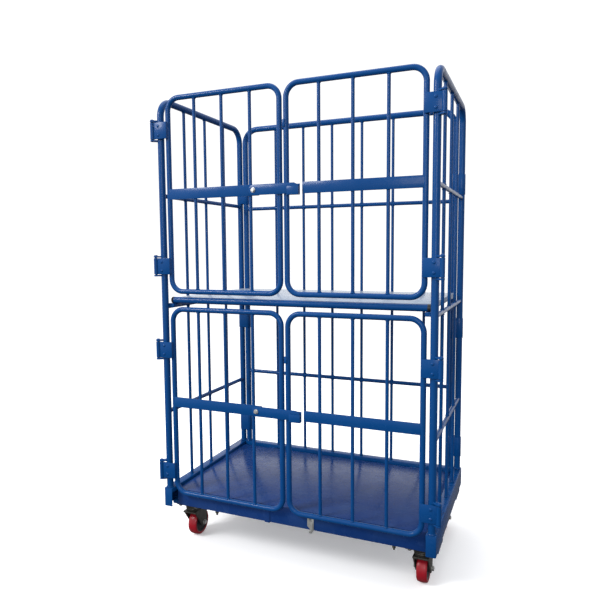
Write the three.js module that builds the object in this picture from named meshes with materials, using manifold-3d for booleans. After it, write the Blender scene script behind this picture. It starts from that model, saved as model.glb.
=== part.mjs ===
// A four-sided roll cage container: a welded tube cage on four castors, with two pairs of
// doors, a deck and a shelf that both fold up against the back.
// Millimetres, +Z up. The front (the doors) faces -Y, and the origin lies on the floor in the
// middle of the overall box.
import * as THREE from 'three';
import { mergeVertices } from 'three/addons/utils/BufferGeometryUtils.js';
import Module from 'manifold-3d';

const wasm = await Module();
wasm.setup();

// ---- driving dimensions ---------------------------------------------------------------

const HEIGHT = 1700; // floor to the top of the cage
const WIDTH = 1000; // between the centre lines of the left and right side panels
const DEPTH = 600; // between the front and rear posts of a side panel
const FRONT = -295; // y of the front posts, which puts the overall box's middle at y = 0
const REAR = FRONT + DEPTH;
const SIDE = WIDTH / 2;
const GAP = 0.3; // between pieces that touch

const POST_R = 12.5;
const POST_BEND = 60;
const RAIL_R = 8;
const BAR_R = 6;
const BACK_SIDE = SIDE - 30; // x of the back panel's own posts
const BACK_RAILS = [1330, 572];
const SIDE_RAILS = [1342, 931, 530];
const BACK_BARS = 6;
const BACK_BAR_SHIFT = 20; // the back bars stand nearer to the right post
const SIDE_BARS = 3;
const CORNER_HINGES = [1394, 820, 326]; // each one's middle height

const SILL_TOP = 232;
const PANEL_FOOT = SILL_TOP + GAP; // where the panels' tubes stand
const SILL_BOTTOM = 163;
const SILL_OUT = 16; // how far a sill stands outside the panel's centre line
const SILL_IN = 18; // and inside it
const SILL_END = 14; // how far it runs past the posts, front and rear
const LEDGE = { reach: 22, thick: 4, front: 22, rear: 60 }; // carries the deck's edge
const SHEET = 3;

const DECK_TOP = 222;
const DECK_BOTTOM = 170;
const DECK_SIDE = SIDE - SILL_IN - 4;
const DECK_FRONT = FRONT + 18; // with its catch, it turns up clear of the closed doors
const DECK_APRON = 158; // the bottom of its deeper front edge
const DECK_REAR = REAR - 36;
const DECK_AXIS = { y: REAR - 28, z: DECK_TOP - 7 };
const DECK_HINGE_X = 330;
const DECK_RIB = { half: 20, bottom: 182 };
const DECK_TAB = { x: -93, half: 10, bottom: 156, top: 206, out: 3 };
const DECK_HOOK = { x: 76, half: 12, top: 210, heel: 158, throat: 172, tip: 146, thick: 3 };

const SHELF_TOP = 964;
const SHELF_LIP = 20;
const SHELF_SIDE = 480;
const SHELF_TUBE = { y: FRONT + 25, z: 955, r: 12, half: 484 };
const SHELF_REAR = REAR - 32;
const SHELF_AXIS = { y: REAR - 24, z: SHELF_TOP - 7 };
const SADDLE = { front: FRONT + 8, rear: FRONT + 60, bottom: SIDE_RAILS[1] - 2, inside: SHELF_SIDE - 12 };
const EYE_R = 6.5;
const PIN_R = 4;
const PIN_PLAY = 0.4;

const DOOR_R = 9.5;
const DOOR_BEND = 45;
const DOOR_EDGE = SIDE - 33; // x of a door's tube beside the post
const DOOR_BARS = 3;
const FLAT_BAR = { half: 19, back: -5, front: -9, gap: 60 }; // gap: from the right meeting tube
const STOP = { long: 10, half: 12, thick: 6 }; // laps the other door's meeting tube
const MEETING = -10; // x of the line where the doors meet
const MEETING_HALF = 12.5; // from that line to each door's meeting tube
const UPPER = { bottom: 980, top: 1698, latch: 1345, hinges: [1575, 1083], stop: 1560 };
const LOWER = { bottom: 208, top: 932, latch: 572, hinges: [770, 305], stop: 763 };

const HINGE_OUT = 24; // the door pivot, outside the post's centre
const HINGE_AHEAD = 18; // and in front of it
const LEAF = { half: 30, thick: 4, knuckle: 8 };
const EAR = { thick: 6, play: 2 };

const LATCH = { pivot: -116, tip: 50, half: 18, back: 12, thick: 4 };
const KEEPER = { start: 12, end: 54, wall: 4, front: 22, lip: 6, back: 14 };

const WHEEL_R = 50;
const WHEEL_HALF = 18;
const CASTOR_X = SIDE - 46;
const FRONT_CASTOR_Y = FRONT + 85;
const REAR_CASTOR_Y = REAR - 75;
const TRAIL = 35;
const PAD = { top: SILL_BOTTOM, bottom: 149, reach: 108, half: 48 }; // under a sill's corner
const PLATE = { x: 48, y: 43, thick: 5, boltX: 36, boltY: 32, boltHead: 6, boltR: 8 };
const CROWN = { bottom: 108, top: 114, half: 30 };
const FORK = { inside: 23, thick: 4 };
const RACE_R = 27;
const AXLE = { r: 5, hexR: 9, head: 7, nut: 8 };
const PEDAL = { behind: 22, height: 110, half: 20 };

// ---- materials ------------------------------------------------------------------------

const paint = (name, color, roughness, metalness) =>
  Object.assign(new THREE.MeshStandardMaterial({ color, roughness, metalness }), { name });
const BLUE = paint('blue_gloss', 0x1c3f92, 0.3, 0.1);
const PALE = paint('pale_sheet', 0xaab4c4, 0.35, 0.1);
const ZINC = paint('zinc', 0x9a9c98, 0.4, 0.9);
const DARK = paint('dark_zinc', 0x3c3c3a, 0.5, 0.8);
const RED = paint('red_tyre', 0xb01c2c, 0.35, 0);

// ---- solids ---------------------------------------------------------------------------

/** A closed geometry as a solid, with its faces turned outwards. */
function solid(geometry) {
  geometry.deleteAttribute('normal');
  geometry.deleteAttribute('uv');
  const merged = mergeVertices(geometry, 1e-4);
  const vertProperties = new Float32Array(merged.attributes.position.array);
  const triVerts = new Uint32Array(merged.index.array);
  if (signedVolume(vertProperties, triVerts) < 0) triVerts.reverse();
  return new wasm.Manifold(new wasm.Mesh({ numProp: 3, vertProperties, triVerts }));
}

function signedVolume(vertices, triangles) {
  const corner = (i) => new THREE.Vector3().fromArray(vertices, 3 * triangles[i]);
  let total = 0;
  for (let i = 0; i < triangles.length; i += 3) {
    total += corner(i).dot(corner(i + 1).cross(corner(i + 2)));
  }
  return total / 6;
}

const weld = (...pieces) => pieces.flat().reduce((all, piece) => all.add(piece));

function box(x0, x1, y0, y1, z0, z1) {
  const geometry = new THREE.BoxGeometry(x1 - x0, y1 - y0, z1 - z0);
  return solid(geometry.translate((x0 + x1) / 2, (y0 + y1) / 2, (z0 + z1) / 2));
}

/** A round bar from one point to another. */
function rod(from, to, radius, sides = 8) {
  const a = new THREE.Vector3(...from);
  const b = new THREE.Vector3(...to);
  const along = b.clone().sub(a);
  const turn = new THREE.Quaternion().setFromUnitVectors(
    new THREE.Vector3(0, 1, 0),
    along.clone().normalize(),
  );
  const geometry = new THREE.CylinderGeometry(radius, radius, along.length(), sides);
  const middle = a.add(b).multiplyScalar(0.5);
  return solid(geometry.applyQuaternion(turn).translate(middle.x, middle.y, middle.z));
}

/** The tool that bores a clear hole for a post, whichever way its flats face. */
function postBore(x, y, low, high) {
  const sides = 12;
  return rod([x, y, low], [x, y, high], (POST_R + GAP) / Math.cos(Math.PI / sides), sides);
}

const AXES = {
  x: [new THREE.Vector3(0, 1, 0), new THREE.Vector3(0, 0, 1), new THREE.Vector3(1, 0, 0)],
  y: [new THREE.Vector3(1, 0, 0), new THREE.Vector3(0, 0, 1), new THREE.Vector3(0, -1, 0)],
  z: [new THREE.Vector3(1, 0, 0), new THREE.Vector3(0, 1, 0), new THREE.Vector3(0, 0, 1)],
};

/** An outline in the plane across an axis (yz, xz or xy), drawn out along that axis. */
function prism(axis, low, high, shape) {
  const outline = Array.isArray(shape)
    ? new THREE.Shape(shape.map(([u, v]) => new THREE.Vector2(u, v)))
    : shape;
  const geometry = new THREE.ExtrudeGeometry(outline, {
    depth: high - low,
    bevelEnabled: false,
    curveSegments: 6,
  });
  const [u, v, w] = AXES[axis];
  const start = axis === 'y' ? high : low;
  const base = new THREE.Matrix4().makeBasis(u, v, w);
  base.setPosition(w.clone().multiplyScalar(w.dot(new THREE.Vector3(1, 1, 1)) * start));
  return solid(geometry.applyMatrix4(base));
}

/** Two round ends joined by straight sides, as an outline. */
function capsule([ax, ay], [bx, by], radius) {
  const heading = Math.atan2(by - ay, bx - ax);
  const shape = new THREE.Shape();
  shape.absarc(bx, by, radius, heading - Math.PI / 2, heading + Math.PI / 2);
  shape.absarc(ax, ay, radius, heading + Math.PI / 2, heading + (3 * Math.PI) / 2);
  return shape;
}

/** Points and directions along straight runs whose right-angled corners are rounded. */
function roundedPath(corners, radius, closed, steps = 4) {
  const count = corners.length;
  return corners.flatMap((corner, i) => {
    const before = corners[(i + count - 1) % count];
    const after = corners[(i + 1) % count];
    const into = corner.clone().sub(before).normalize();
    const out = after.clone().sub(corner).normalize();
    if (!closed && i === 0) return [{ point: corner, along: out }];
    if (!closed && i === count - 1) return [{ point: corner, along: into }];
    return Array.from({ length: steps + 1 }, (_, step) => {
      const turn = ((step / steps) * Math.PI) / 2;
      const point = corner
        .clone()
        .addScaledVector(into, -radius * (1 - Math.sin(turn)))
        .addScaledVector(out, radius * (1 - Math.cos(turn)));
      const along = into.clone().multiplyScalar(Math.cos(turn));
      return { point, along: along.addScaledVector(out, Math.sin(turn)) };
    });
  });
}

/** A round tube swept along a flat path. */
function sweep(path, normal, radius, sides, closed) {
  const positions = path.flatMap(({ point, along }) => {
    const across = new THREE.Vector3().crossVectors(along, normal);
    return Array.from({ length: sides }, (_, k) => {
      const angle = (2 * Math.PI * (k + 0.5)) / sides;
      return point
        .clone()
        .addScaledVector(normal, radius * Math.cos(angle))
        .addScaledVector(across, radius * Math.sin(angle))
        .toArray();
    }).flat();
  });
  const index = [];
  const spans = closed ? path.length : path.length - 1;
  for (let i = 0; i < spans; i++) {
    const here = i * sides;
    const next = ((i + 1) % path.length) * sides;
    for (let k = 0; k < sides; k++) {
      const l = (k + 1) % sides;
      index.push(here + k, next + k, next + l, here + k, next + l, here + l);
    }
  }
  const last = (path.length - 1) * sides;
  for (let k = 1; !closed && k < sides - 1; k++) {
    index.push(0, k, k + 1, last, last + k + 1, last + k);
  }
  const geometry = new THREE.BufferGeometry();
  geometry.setAttribute('position', new THREE.Float32BufferAttribute(positions, 3));
  geometry.setIndex(index);
  return solid(geometry);
}

/** A solid turned on a profile of [radius, distance] points, about a line along X. */
function turned(profile, sides) {
  const points = profile.map(([radius, along]) => new THREE.Vector2(radius, along));
  return solid(new THREE.LatheGeometry(points, sides).rotateZ(-Math.PI / 2));
}

/** A named mesh of a solid. */
function piece(name, material, shape) {
  const { vertProperties, triVerts } = shape.getMesh();
  const geometry = new THREE.BufferGeometry();
  geometry.setAttribute('position', new THREE.Float32BufferAttribute(vertProperties, 3));
  geometry.setIndex(Array.from(triVerts));
  geometry.computeVertexNormals();
  const mesh = new THREE.Mesh(geometry, material);
  mesh.name = name;
  return mesh;
}

function groupAt(x, y, z, ...children) {
  const group = new THREE.Group();
  group.position.set(x, y, z);
  return group.add(...children.flat());
}

const evenly = (count, low, high) =>
  Array.from({ length: count }, (_, i) => low + ((high - low) * (i + 1)) / (count + 1));

// ---- the fixed cage -------------------------------------------------------------------

/** A panel's arched tube, standing on a sill, in the plane across `normal`. */
function arch(low, high, at, normal) {
  const place = (u, z) => (normal.x ? new THREE.Vector3(at, u, z) : new THREE.Vector3(u, at, z));
  const top = HEIGHT - POST_R;
  const corners = [[low, PANEL_FOOT], [low, top], [high, top], [high, PANEL_FOOT]];
  const path = roundedPath(corners.map(([u, z]) => place(u, z)), POST_BEND, false);
  return sweep(path, normal, POST_R, 12, false);
}

const backBars = evenly(BACK_BARS, -BACK_SIDE, BACK_SIDE).map((x) => x + BACK_BAR_SHIFT);
const shelfHinges = [backBars[0], backBars[BACK_BARS - 1]]; // on the outermost bars

function backPanel() {
  const upright = (x) => rod([x, REAR, PANEL_FOOT], [x, REAR, HEIGHT - POST_R], BAR_R);
  const rail = (z) => rod([-BACK_SIDE, REAR, z], [BACK_SIDE, REAR, z], RAIL_R);
  return weld(
    arch(-BACK_SIDE, BACK_SIDE, REAR, new THREE.Vector3(0, 1, 0)),
    backBars.map(upright),
    BACK_RAILS.map(rail),
    shelfHinges.map(shelfLug),
  );
}

/** A lug on one of the back panel's bars, with the pin that the shelf turns on. */
function shelfLug(x) {
  const { y, z } = SHELF_AXIS;
  return weld(
    box(x - 7, x + 7, y, REAR - 2, z - 5, z + 5),
    rod([x - 8, y, z], [x + 8, y, z], EYE_R, 12),
    rod([x - 22, y, z], [x + 22, y, z], PIN_R, 12),
  );
}

function sidePanel(side) {
  const x = side * SIDE;
  const upright = (y) => rod([x, y, PANEL_FOOT], [x, y, HEIGHT - POST_R], BAR_R);
  const rail = (z) => rod([x, FRONT, z], [x, REAR, z], RAIL_R);
  const { front, rear, bottom, inside } = SADDLE;
  const across = [x, side * inside].sort((a, b) => a - b);
  const saddle = box(...across, front, rear, bottom, SHELF_TUBE.z - SHELF_TUBE.r - GAP);
  return weld(
    arch(FRONT, REAR, x, new THREE.Vector3(1, 0, 0)),
    evenly(SIDE_BARS, FRONT, REAR).map(upright),
    SIDE_RAILS.map(rail),
    saddle,
  );
}

/** A folded channel under a side panel, closed at both ends, with the deck's ledge. */
function sideSill(side) {
  const front = FRONT - SILL_END;
  const rear = REAR + SILL_END;
  const inward = (from) => side * (SIDE + SILL_OUT - from);
  const across = (from, to) => [inward(from), inward(to)].sort((a, b) => a - b);
  const width = SILL_OUT + SILL_IN;
  const lip = DECK_TOP - 6;
  const channel = [
    [0, SILL_BOTTOM], [0, SILL_TOP], [width, SILL_TOP], [width, lip],
    [width - SHEET, lip], [width - SHEET, SILL_TOP - SHEET],
    [SHEET, SILL_TOP - SHEET], [SHEET, SILL_BOTTOM],
  ];
  const ledgeTop = DECK_BOTTOM - GAP;
  const ledge = box(
    ...across(1, width + LEDGE.reach), FRONT + LEDGE.front, REAR - LEDGE.rear,
    ledgeTop - LEDGE.thick, ledgeTop,
  );
  const end = (y) => box(...across(1, width - 1), y, y + SHEET, SILL_BOTTOM - 2, SILL_TOP - 1);
  const pad = (y) =>
    box(...across(1, PAD.reach), y - PAD.half, y + PAD.half, PAD.bottom, PAD.top + SHEET);
  return weld(
    prism('y', front, rear, channel.map(([from, z]) => [inward(from), z])),
    ledge,
    end(front - 1),
    end(rear - SHEET + 1),
    pad(FRONT_CASTOR_Y),
    pad(REAR_CASTOR_Y),
  );
}

function rearSill() {
  const half = SIDE - SILL_IN - GAP;
  const front = REAR - SILL_IN;
  const back = REAR + SILL_END;
  const channel = [
    [front, DECK_BOTTOM], [front, SILL_TOP], [back, SILL_TOP], [back, SILL_BOTTOM],
    [back - SHEET, SILL_BOTTOM], [back - SHEET, SILL_TOP - SHEET],
    [front + SHEET, SILL_TOP - SHEET], [front + SHEET, DECK_BOTTOM],
  ];
  return prism('x', -half, half, channel);
}

/** A double sleeve that ties a side panel's rear post to the back panel's post. */
function cornerHinge(side) {
  const posts = [[0, 0], [side * (BACK_SIDE - SIDE), 0]];
  const sleeve = prism('z', -40, 40, capsule(...posts, POST_R + 3.5));
  const bore = ([x, y]) => postBore(x, y, -41, 41);
  return sleeve.subtract(bore(posts[0])).subtract(bore(posts[1]));
}

/** The deck's hinge lug on the rear sill, with its pin. */
function deckHinge() {
  const { y, z } = DECK_AXIS;
  const sill = REAR - SILL_IN - GAP;
  return weld(
    box(-25, 25, sill - 3, sill, z - 14, z + 4),
    box(-8, 8, y, sill - 1, z - 5, z + 3),
    rod([-9, y, z], [9, y, z], EYE_R, 12),
    rod([-24, y, z], [24, y, z], PIN_R, 12),
  );
}

// ---- deck and shelf -------------------------------------------------------------------

/** An eye on a folding panel, from its rear flange to the hinge pin. */
function eye(x, { y, z }, flange) {
  const tongue = weld(
    box(x - 3, x + 3, flange, y, z - EYE_R + 1.6, z + EYE_R - 1.6),
    rod([x - 4, y, z], [x + 4, y, z], EYE_R, 12),
  );
  return tongue.subtract(rod([x - 5, y, z], [x + 5, y, z], PIN_R + PIN_PLAY, 12));
}

/** A sheet with its edges folded down. */
function pan(half, front, rear, top, bottom) {
  const inside = box(
    -half + SHEET, half - SHEET, front + SHEET, rear - SHEET, bottom - 1, top - SHEET,
  );
  return box(-half, half, front, rear, bottom, top).subtract(inside);
}

function deck() {
  const { half, bottom } = DECK_RIB;
  const rib = (x) => box(x - half, x + half, DECK_FRONT + 1, DECK_REAR - 1, bottom, DECK_TOP - 1);
  const { x: tab, half: tabHalf, out, bottom: low, top: high } = DECK_TAB;
  const eyes = [-DECK_HINGE_X, DECK_HINGE_X].flatMap((x) => [x - 15, x + 15]);
  return weld(
    pan(DECK_SIDE, DECK_FRONT, DECK_REAR, DECK_TOP, DECK_BOTTOM),
    evenly(2, -DECK_SIDE, DECK_SIDE).map(rib),
    eyes.map((x) => eye(x, DECK_AXIS, DECK_REAR - 1)),
    box(-DECK_SIDE + 1, DECK_SIDE - 1, DECK_FRONT, DECK_FRONT + SHEET, DECK_APRON, DECK_BOTTOM + 1),
    box(tab - tabHalf, tab + tabHalf, DECK_FRONT - out, DECK_FRONT + 1, low, high),
  );
}

/** The hanging hook on the deck's front edge that holds the folded deck up. */
function deckCatch() {
  const { x, half, top, heel, throat, tip, thick } = DECK_HOOK;
  const face = DECK_FRONT - GAP;
  const hook = [
    [x - half, top], [x + half, top], [x + half, heel], [x + half / 3, tip],
    [x - half / 2, tip], [x - half / 2, tip + 8], [x + 1, heel], [x - half, throat],
  ];
  return prism('y', face - thick, face, hook);
}

function shelf() {
  const eyes = shelfHinges.flatMap((x) => [x - 14, x + 14]);
  const front = SHELF_TUBE.y + SHELF_TUBE.r + GAP;
  return weld(
    pan(SHELF_SIDE, front, SHELF_REAR, SHELF_TOP, SHELF_TOP - SHELF_LIP),
    eyes.map((x) => eye(x, SHELF_AXIS, SHELF_REAR - 1)),
  );
}

function shelfTube() {
  const { y, z, r, half } = SHELF_TUBE;
  return rod([-half, y, z], [half, y, z], r, 16);
}

// ---- doors ----------------------------------------------------------------------------

/** Where a door's two upright tubes stand: the hinged one first, then the meeting one. */
function doorTubes(side) {
  return { hinged: side * DOOR_EDGE, meeting: MEETING + side * MEETING_HALF };
}

function door(side, level) {
  const { hinged, meeting } = doorTubes(side);
  const low = Math.min(hinged, meeting);
  const high = Math.max(hinged, meeting);
  const bottom = level.bottom + DOOR_R;
  const top = level.top - DOOR_R;
  const corners = [[low, bottom], [high, bottom], [high, top], [low, top]];
  const path = roundedPath(corners.map(([x, z]) => new THREE.Vector3(x, 0, z)), DOOR_BEND, true);
  const upright = (x) => rod([x, 0, bottom], [x, 0, top], BAR_R);
  const barEnd = side < 0 ? LATCH.pivot + LATCH.half + 1 : meeting + FLAT_BAR.gap;
  const bar = [hinged, barEnd].sort((a, b) => a - b);
  const { half, front, back } = FLAT_BAR;
  const stop = box(
    meeting - STOP.long, meeting, -DOOR_R - STOP.thick / 2, -DOOR_R + STOP.thick / 2,
    level.stop - STOP.half, level.stop + STOP.half,
  );
  return weld(
    sweep(path, new THREE.Vector3(0, 1, 0), DOOR_R, 10, true),
    evenly(DOOR_BARS, low, high).map(upright),
    box(...bar, front, back, level.latch - half, level.latch + half),
    side > 0 ? [stop] : [],
  );
}

/** The door's half of a hinge: a knuckle on the pin and a leaf across the front of the post. */
function hingeLeaf(side) {
  const { half, thick, knuckle } = LEAF;
  const reach = HINGE_OUT + SIDE - DOOR_EDGE + 4;
  const back = HINGE_AHEAD - DOOR_R - GAP;
  const foot = reach - 9;
  const leaf = [
    [0, -thick / 2], [reach, -thick / 2], [reach, back], [foot, back],
    [foot, thick / 2], [0, thick / 2],
  ];
  const outline = leaf.map(([u, v]) => [-side * u, v]);
  const bore = rod([0, 0, -half - 1], [0, 0, half + 1], PIN_R + PIN_PLAY, 12);
  const barrel = rod([0, 0, -half], [0, 0, half], knuckle, 12);
  return weld(prism('z', -half, half, outline), barrel).subtract(bore);
}

/** The post's half of a hinge: two ears that hold the pin. */
function hingeBracket(side) {
  const post = [-side * HINGE_OUT, HINGE_AHEAD];
  const low = LEAF.half + EAR.play;
  const high = low + EAR.thick;
  const ear = (from, to) => prism('z', from, to, capsule([0, 0], post, LEAF.knuckle));
  const pin = rod([0, 0, -high], [0, 0, high], PIN_R, 12);
  return weld(ear(low, high), ear(-high, -low), pin).subtract(postBore(...post, -high - 1, high + 1));
}

/** The latch lever, flat across both meeting tubes. */
function latchLever() {
  const { tip, pivot, half, back, thick } = LATCH;
  const length = tip - pivot;
  const outline = [[0, -half], [length, -half], [length, 8], [length - 14, half], [0, half]];
  const blade = prism('y', -back - thick, -back, outline);
  const boss = rod([0, -back - thick, 0], [0, -back, 0], half, 16);
  return weld(blade, boss).subtract(rod([0, -30, 0], [0, 0, 0], PIN_R + PIN_PLAY, 12));
}

/** The bolt that the lever turns on, through the left door's flat rail. */
function latchBolt() {
  const { back, thick } = LATCH;
  return weld(
    rod([0, -back, 0], [0, FLAT_BAR.front - GAP, 0], 9, 12),
    rod([0, -back - thick - 1, 0], [0, -back + 1, 0], PIN_R, 12),
    rod([0, -KEEPER.front, 0], [0, -back - thick - GAP, 0], 8, 6),
  );
}

/** The U-shaped keeper on the right door, open at the top. */
function latchKeeper() {
  const { start, end, wall, front, lip, back } = KEEPER;
  const floor = -LATCH.half - GAP;
  const outline = [
    [FLAT_BAR.back, floor - wall], [-front, floor - wall], [-front, lip], [-front + wall, lip],
    [-front + wall, floor], [FLAT_BAR.front, floor], [FLAT_BAR.front, back], [FLAT_BAR.back, back],
  ];
  return prism('x', start, end, outline);
}

// ---- castors --------------------------------------------------------------------------

function wheel() {
  const half = WHEEL_HALF;
  const profile = [
    [6, -half - 3], [14, -half - 3], [16, -half + 4], [34, -half + 4], [36, -half], [46, -half],
    [WHEEL_R, -half + 5], [WHEEL_R, half - 5], [46, half], [36, half], [34, half - 4],
    [16, half - 4], [14, half + 3], [6, half + 3], [6, -half - 3],
  ];
  return turned(profile, 20);
}

/** The axle bolt, with a head and a nut outside the fork. */
function axle() {
  const out = FORK.inside + FORK.thick + GAP;
  return weld(
    rod([-out, 0, 0], [out, 0, 0], AXLE.r, 12),
    rod([-out - AXLE.head, 0, 0], [-out, 0, 0], AXLE.hexR, 6),
    rod([out, 0, 0], [out + AXLE.nut, 0, 0], AXLE.hexR, 6),
  );
}

/** A castor fork around a wheel that stands `trail` behind the fork's middle. */
function fork(trail) {
  const { inside, thick } = FORK;
  const arm = [
    [-28, CROWN.top - 2], [trail - 16, WHEEL_R - 6], [trail - 8, WHEEL_R - 14],
    [trail + 8, WHEEL_R - 14], [trail + 16, WHEEL_R - 4], [trail + 24, CROWN.top - 2],
  ];
  const hole = rod([-40, trail, WHEEL_R], [40, trail, WHEEL_R], AXLE.r + GAP, 12);
  const { half, bottom, top } = CROWN;
  return weld(
    box(-inside - thick, inside + thick, -half, Math.max(trail + 13, half), bottom, top),
    prism('x', -inside - thick, -inside, arm),
    prism('x', inside, inside + thick, arm),
  ).subtract(hole);
}

/** The plate bolted under a sill's pad, down to the fork. */
function topPlate(bottom, radius) {
  const plateTop = PAD.bottom - GAP;
  const plateBottom = plateTop - PLATE.thick;
  const bolts = [-PLATE.boltX, PLATE.boltX].flatMap((x) => [[x, -PLATE.boltY], [x, PLATE.boltY]]);
  const bolt = ([x, y]) =>
    rod([x, y, plateBottom - PLATE.boltHead], [x, y, plateBottom + 1], PLATE.boltR, 6);
  return weld(
    box(-PLATE.x, PLATE.x, -PLATE.y, PLATE.y, plateBottom, plateTop),
    rod([0, 0, bottom], [0, 0, plateBottom + 1], radius, 20),
    bolts.map(bolt),
  );
}

/** A toe pedal whose shoe comes down on the tread. Its pivot is at the origin. */
function brakePedal() {
  const { half } = PEDAL;
  const tread = [[-5, 4], [58, -8], [56, -12], [18, -5]];
  const shoe = [[14, -12], [9, -11], [6, -4], [-5, -4]];
  const pivot = rod([-half - 2, 0, 0], [half + 2, 0, 0], 5, 12);
  return weld(prism('x', -half, half, [...tread, ...shoe]), pivot);
}

function castor(name, x, y, swivels) {
  const trail = swivels ? TRAIL : 0;
  const rolling = groupAt(
    0, trail, WHEEL_R,
    piece(`${name}_wheel`, RED, wheel()),
    piece(`${name}_axle`, ZINC, axle()),
  );
  if (!swivels) {
    const rigid = weld(topPlate(CROWN.top - 2, RACE_R - 1), fork(trail));
    return groupAt(x, y, 0, rolling, piece(`${name}_fork`, DARK, rigid));
  }
  const pedal = groupAt(
    0, trail + PEDAL.behind, PEDAL.height,
    piece(`${name}_brake`, ZINC, brakePedal()),
  );
  return groupAt(
    x, y, 0, rolling, pedal,
    piece(`${name}_fork`, DARK, fork(trail)),
    piece(`${name}_plate`, DARK, topPlate(CROWN.top + GAP, RACE_R)),
  );
}

// ---- the assembly ---------------------------------------------------------------------

const SIDES = [['left', -1], ['right', 1]];
const LEVELS = [['upper', UPPER], ['lower', LOWER]];

const cage = groupAt(
  0, 0, 0,
  piece('back_panel', BLUE, backPanel()),
  piece('rear_sill', BLUE, rearSill()),
  SIDES.flatMap(([name, side]) => [
    piece(`${name}_side_panel`, BLUE, sidePanel(side)),
    piece(`${name}_sill`, BLUE, sideSill(side)),
    groupAt(side * DECK_HINGE_X, 0, 0, piece(`deck_hinge_${name}`, BLUE, deckHinge())),
    ...CORNER_HINGES.map((z, i) =>
      groupAt(side * SIDE, REAR, z, piece(`corner_hinge_${name}_${i + 1}`, BLUE, cornerHinge(side))),
    ),
  ]),
);

const folding = groupAt(
  0, 0, 0,
  piece('deck', BLUE, deck()),
  piece('deck_hook', ZINC, deckCatch()),
  piece('shelf_sheet', PALE, shelf()),
  piece('shelf_front_tube', BLUE, shelfTube()),
);

const doors = groupAt(
  0, FRONT, 0,
  LEVELS.flatMap(([height, level]) => [
    groupAt(
      LATCH.pivot, 0, level.latch,
      piece(`latch_lever_${height}`, BLUE, latchLever()),
      piece(`latch_bolt_${height}`, ZINC, latchBolt()),
    ),
    groupAt(0, 0, level.latch, piece(`latch_keeper_${height}`, BLUE, latchKeeper())),
    ...SIDES.flatMap(([name, side]) => [
      piece(`door_${height}_${name}`, BLUE, door(side, level)),
      ...level.hinges.map((z, i) =>
        groupAt(
          side * (SIDE + HINGE_OUT), -HINGE_AHEAD, z,
          piece(`hinge_leaf_${height}_${name}_${i + 1}`, BLUE, hingeLeaf(side)),
          piece(`hinge_bracket_${height}_${name}_${i + 1}`, BLUE, hingeBracket(side)),
        ),
      ),
    ]),
  ]),
);

const castors = SIDES.flatMap(([name, side]) => [
  castor(`front_${name}_castor`, side * CASTOR_X, FRONT_CASTOR_Y, true),
  castor(`rear_${name}_castor`, side * CASTOR_X, REAR_CASTOR_Y, false),
]);

const rollCage = new THREE.Group().add(cage, folding, doors, ...castors);

export default rollCage;
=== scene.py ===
"""The looks of a roll cage container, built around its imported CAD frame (metres, +Z up)."""
import math

import bmesh
import bpy
from mathutils import Matrix, Vector, noise


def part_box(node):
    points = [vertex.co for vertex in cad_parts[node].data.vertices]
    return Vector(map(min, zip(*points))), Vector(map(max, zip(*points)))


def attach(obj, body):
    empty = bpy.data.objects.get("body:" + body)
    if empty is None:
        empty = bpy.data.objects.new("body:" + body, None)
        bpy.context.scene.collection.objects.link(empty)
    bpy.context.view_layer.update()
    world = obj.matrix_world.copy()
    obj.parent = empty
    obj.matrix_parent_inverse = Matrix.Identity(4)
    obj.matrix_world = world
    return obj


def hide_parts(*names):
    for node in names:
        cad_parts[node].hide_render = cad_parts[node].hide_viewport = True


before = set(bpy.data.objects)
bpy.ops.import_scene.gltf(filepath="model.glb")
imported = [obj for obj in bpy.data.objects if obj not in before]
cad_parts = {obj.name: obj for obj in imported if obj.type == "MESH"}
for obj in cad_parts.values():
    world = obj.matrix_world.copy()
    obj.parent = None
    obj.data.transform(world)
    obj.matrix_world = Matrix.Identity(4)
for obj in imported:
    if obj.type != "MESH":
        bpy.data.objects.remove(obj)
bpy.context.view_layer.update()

MM = 0.001
X, Y, Z = Vector((1, 0, 0)), Vector((0, 1, 0)), Vector((0, 0, 1))

# ---- sizes that the frame's boxes don't give ------------------------------------------

POST_R = 12.5 * MM
POST_BEND = 60 * MM
RAIL_R = 8 * MM
BAR_R = 6 * MM
DOOR_R = 9.5 * MM
DOOR_BEND = 45 * MM
BACK_RAILS = [1.330, 0.572]
SIDE_RAILS = [1.342, 0.931, 0.530]
BACK_BARS = 6
BACK_BAR_SHIFT = 20 * MM  # the back bars stand nearer to the right post
SIDE_BARS = 3
DOOR_BARS = 3
BEAD = 2.2 * MM
PIN_R = 4 * MM
SIDES = (("left", -1), ("right", 1))
LEVELS = ("upper", "lower")

side_low, side_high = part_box("right_side_panel")
SIDE = side_high.x - POST_R
FRONT = side_low.y + POST_R
REAR = side_high.y - POST_R
FOOT = side_low.z
TOP = 1.7
BACK_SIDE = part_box("back_panel")[1].x - POST_R


def evenly(count, low, high):
    """Places that divide a stretch into equal parts, without its ends."""
    return [low + (high - low) * (i + 1) / (count + 1) for i in range(count)]


def in_mm(points):
    """A profile's points, given in millimetres, in metres."""
    return [(radius * MM, distance * MM) for radius, distance in points]


def middle_of(node):
    """The middle of a node's box."""
    low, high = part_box(node)
    return (low + high) / 2


BACK_BAR_PLACES = [x + BACK_BAR_SHIFT for x in evenly(BACK_BARS, -BACK_SIDE, BACK_SIDE)]

# ---- materials ------------------------------------------------------------------------


def spread(tree, value, low, high, out_low, out_high):
    """A value's range from low to high, spread over out_low to out_high."""
    node = tree.nodes.new("ShaderNodeMapRange")
    inputs = (low, high, out_low, out_high)
    for key, number in zip(("From Min", "From Max", "To Min", "To Max"), inputs):
        node.inputs[key].default_value = number
    tree.links.new(value, node.inputs["Value"])
    return node.outputs["Result"]


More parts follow.
